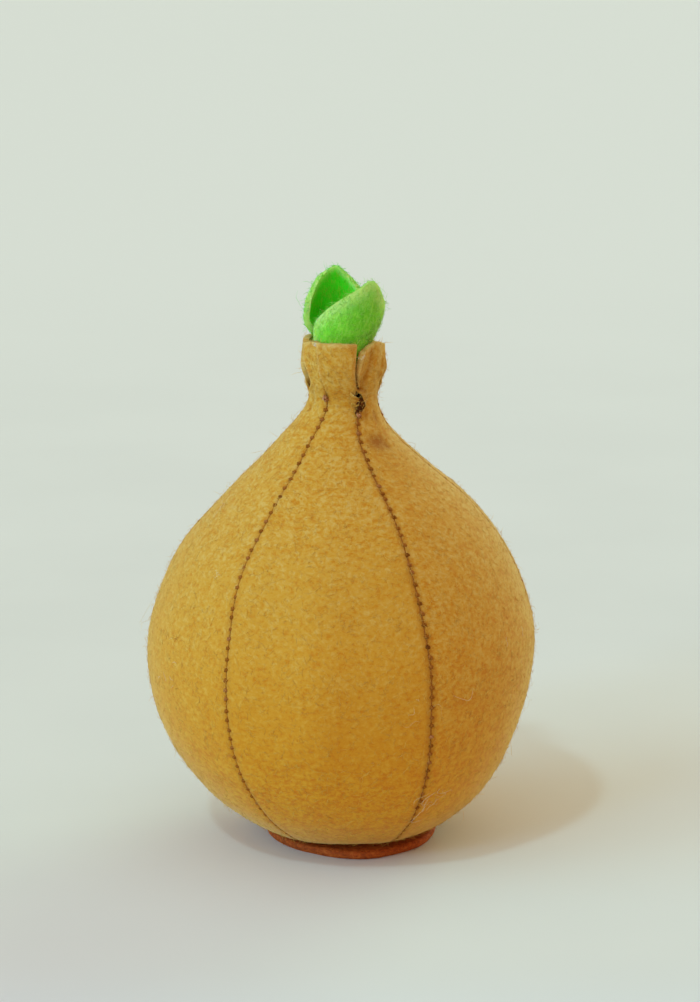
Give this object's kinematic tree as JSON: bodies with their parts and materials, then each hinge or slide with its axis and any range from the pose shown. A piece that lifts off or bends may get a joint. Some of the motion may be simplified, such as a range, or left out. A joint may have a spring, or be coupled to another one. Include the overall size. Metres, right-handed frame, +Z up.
{
  "type": "felt play-food onion",
  "caption": "Stuffed felt toy onion: round sewn body of felt gores, gathered neck with an open collar, cupped green leaves and a flat brown base disc.",
  "frame": {"origin": "under the middle of the body, on the surface that the toy stands on", "axes": "+Z up through the collar and the leaves; -Y is the front, where the front leaf's convex side faces"},
  "size_m": [0.085, 0.0832, 0.125],
  "materials": {
    "body_felt": "mustard-yellow wool felt, matte, mottled, with fine loose fibres",
    "sewing_thread": "brown sewing thread, slightly glossy twist",
    "leaf_felt": "bright green felt, matte, paler along the cut edges",
    "base_felt": "rust-brown felt, matte",
    "filling": "white polyester fibre filling"
  },
  "bodies": {
    "root": {"panel_1": "body_felt", "panel_2": "body_felt", "panel_3": "body_felt", "panel_4": "body_felt", "panel_5": "body_felt", "panel_6": "body_felt", "seam_thread_1": "sewing_thread", "seam_thread_2": "sewing_thread", "seam_thread_3": "sewing_thread", "seam_thread_4": "sewing_thread", "seam_thread_5": "sewing_thread", "seam_thread_6": "sewing_thread", "leaf_front": "leaf_felt", "leaf_back": "leaf_felt", "base_disc": "base_felt", "stuffing": "filling"}
  },
  "joints": []
}
